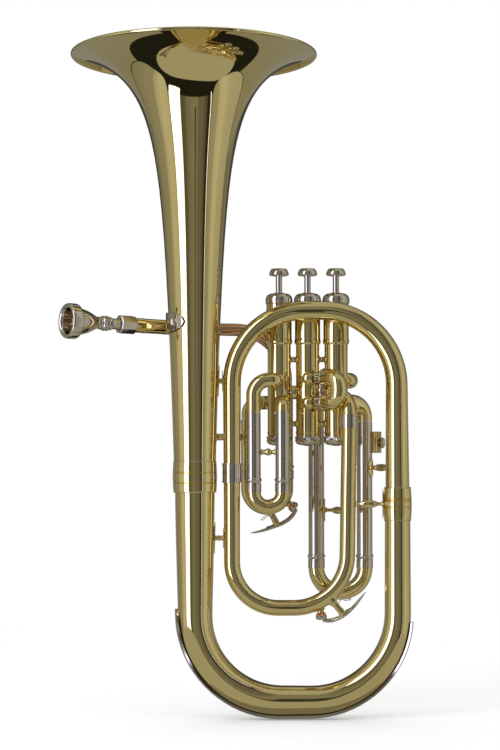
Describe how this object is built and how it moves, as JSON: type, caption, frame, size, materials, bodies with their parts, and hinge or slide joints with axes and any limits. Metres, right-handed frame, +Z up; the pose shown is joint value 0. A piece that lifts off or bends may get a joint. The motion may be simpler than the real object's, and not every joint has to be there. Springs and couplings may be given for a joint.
{
  "type": "alto horn",
  "caption": "Upright alto horn with a flared bell, piston valves with finger buttons, pull-out tuning and valve slides, sprung water keys and a cup mouthpiece.",
  "frame": {"origin": "under the middle of the overall width and depth, at the lowest point of the bow guard", "axes": "+Z up along the bell's axis, +X from the bell to the valve side, +Y towards the player's side where the leadpipe runs"},
  "size_m": [0.2902, 0.2026, 0.5482],
  "materials": {
    "yellow_brass": "polished and clear lacquered",
    "rose_brass": "polished and clear lacquered, redder than the rest",
    "nickel_silver": "polished nickel silver",
    "spring_steel": "drawn wire",
    "cork": "matt pressed cork",
    "felt": "dense wool felt"
  },
  "bodies": {
    "horn_body": {"bell": "yellow_brass", "bell_ferrule": "yellow_brass", "bottom_bow": "yellow_brass", "right_ferrule": "yellow_brass", "top_bow": "yellow_brass", "inner_bow": "yellow_brass", "exit_elbow": "yellow_brass", "main_slide_sleeves": "yellow_brass", "main_slide_crook": "yellow_brass", "first_crook_high": "yellow_brass", "first_crook_low": "yellow_brass", "third_crook_high": "yellow_brass", "third_crook_low": "yellow_brass", "lyre_holder": "yellow_brass", "inner_key_saddle": "yellow_brass", "valve_casing_1": "yellow_brass", "valve_casing_2": "yellow_brass", "valve_casing_3": "yellow_brass", "leadpipe_saddle": "nickel_silver", "bow_guard": "nickel_silver", "left_ferrule": "nickel_silver", "exit_ferrule": "nickel_silver", "receiver": "nickel_silver", "first_slide_sleeves": "nickel_silver", "second_slide_sleeves": "nickel_silver", "third_sleeve_left": "nickel_silver", "third_sleeve_right": "nickel_silver", "top_cap_1": "nickel_silver", "top_cap_2": "nickel_silver", "top_cap_3": "nickel_silver", "bottom_cap_1": "nickel_silver", "bottom_cap_2": "nickel_silver", "bottom_cap_3": "nickel_silver", "leadpipe": "rose_brass", "valve_spring_1": "spring_steel", "valve_spring_2": "spring_steel", "valve_spring_3": "spring_steel"},
    "valve_1": {"piston_1": "nickel_silver", "valve_stem_1": "nickel_silver", "finger_button_1": "nickel_silver", "valve_felt_1": "felt"},
    "valve_2": {"piston_2": "nickel_silver", "valve_stem_2": "nickel_silver", "finger_button_2": "nickel_silver", "valve_felt_2": "felt"},
    "valve_3": {"piston_3": "nickel_silver", "valve_stem_3": "nickel_silver", "finger_button_3": "nickel_silver", "valve_felt_3": "felt"},
    "main_slide": {"main_tuning_slide": "yellow_brass", "main_key_saddle": "yellow_brass"},
    "main_key": {"main_key_lever": "nickel_silver", "main_key_cork": "cork"},
    "first_slide": {"first_valve_slide": "yellow_brass"},
    "second_slide": {"second_valve_slide": "yellow_brass"},
    "third_slide": {"third_valve_slide": "yellow_brass"},
    "inner_key": {"inner_key_lever": "nickel_silver", "inner_key_cork": "cork"},
    "mouthpiece_body": {"mouthpiece": "nickel_silver"},
    "thumb_screw": {"lyre_screw": "nickel_silver"}
  },
  "joints": [
    {"name": "valve_1_press", "type": "slide", "parent": "horn_body", "child": "valve_1", "axis": [0, 0, -1], "range_m": [0, 0.014], "stiffness_N_per_m": 110, "springref_m": -0.026, "deforming": ["valve_spring_1"]},
    {"name": "valve_2_press", "type": "slide", "parent": "horn_body", "child": "valve_2", "axis": [0, 0, -1], "range_m": [0, 0.014], "stiffness_N_per_m": 110, "springref_m": -0.026, "deforming": ["valve_spring_2"]},
    {"name": "valve_3_press", "type": "slide", "parent": "horn_body", "child": "valve_3", "axis": [0, 0, -1], "range_m": [0, 0.014], "stiffness_N_per_m": 110, "springref_m": -0.026, "deforming": ["valve_spring_3"]},
    {"name": "main_slide_pull", "type": "slide", "parent": "horn_body", "child": "main_slide", "axis": [0, 0, -1], "range_m": [0, 0.035]},
    {"name": "main_key_press", "type": "hinge", "parent": "main_slide", "child": "main_key", "pos_m": [0.0328, 0.04, 0.1606], "axis": [0, 1, 0], "range_deg": [0, 16], "stiffness_Nm_per_rad": 0.03, "springref_deg": -34.38},
    {"name": "first_slide_pull", "type": "slide", "parent": "horn_body", "child": "first_slide", "axis": [0, 0, -1], "range_m": [0, 0.05]},
    {"name": "second_slide_pull", "type": "slide", "parent": "horn_body", "child": "second_slide", "axis": [0.6293, -0.7771, 0], "range_m": [0, 0.008]},
    {"name": "third_slide_pull", "type": "slide", "parent": "horn_body", "child": "third_slide", "axis": [0, 0, -1], "range_m": [0, 0.07]},
    {"name": "inner_key_press", "type": "hinge", "parent": "horn_body", "child": "inner_key", "pos_m": [0.0862, 0, 0.0876], "axis": [0, -1, 0], "range_deg": [0, 16], "stiffness_Nm_per_rad": 0.03, "springref_deg": -34.38},
    {"name": "mouthpiece_pull", "type": "slide", "parent": "horn_body", "child": "mouthpiece_body", "axis": [-0.8385, -0.5446, 0.0175], "range_m": [0, 0.02]},
    {"name": "thumb_screw_turn", "type": "hinge", "parent": "horn_body", "child": "thumb_screw", "pos_m": [0.1216, 0.0392, 0.228], "axis": [1, 0, 0], "continuous": true}
  ]
}
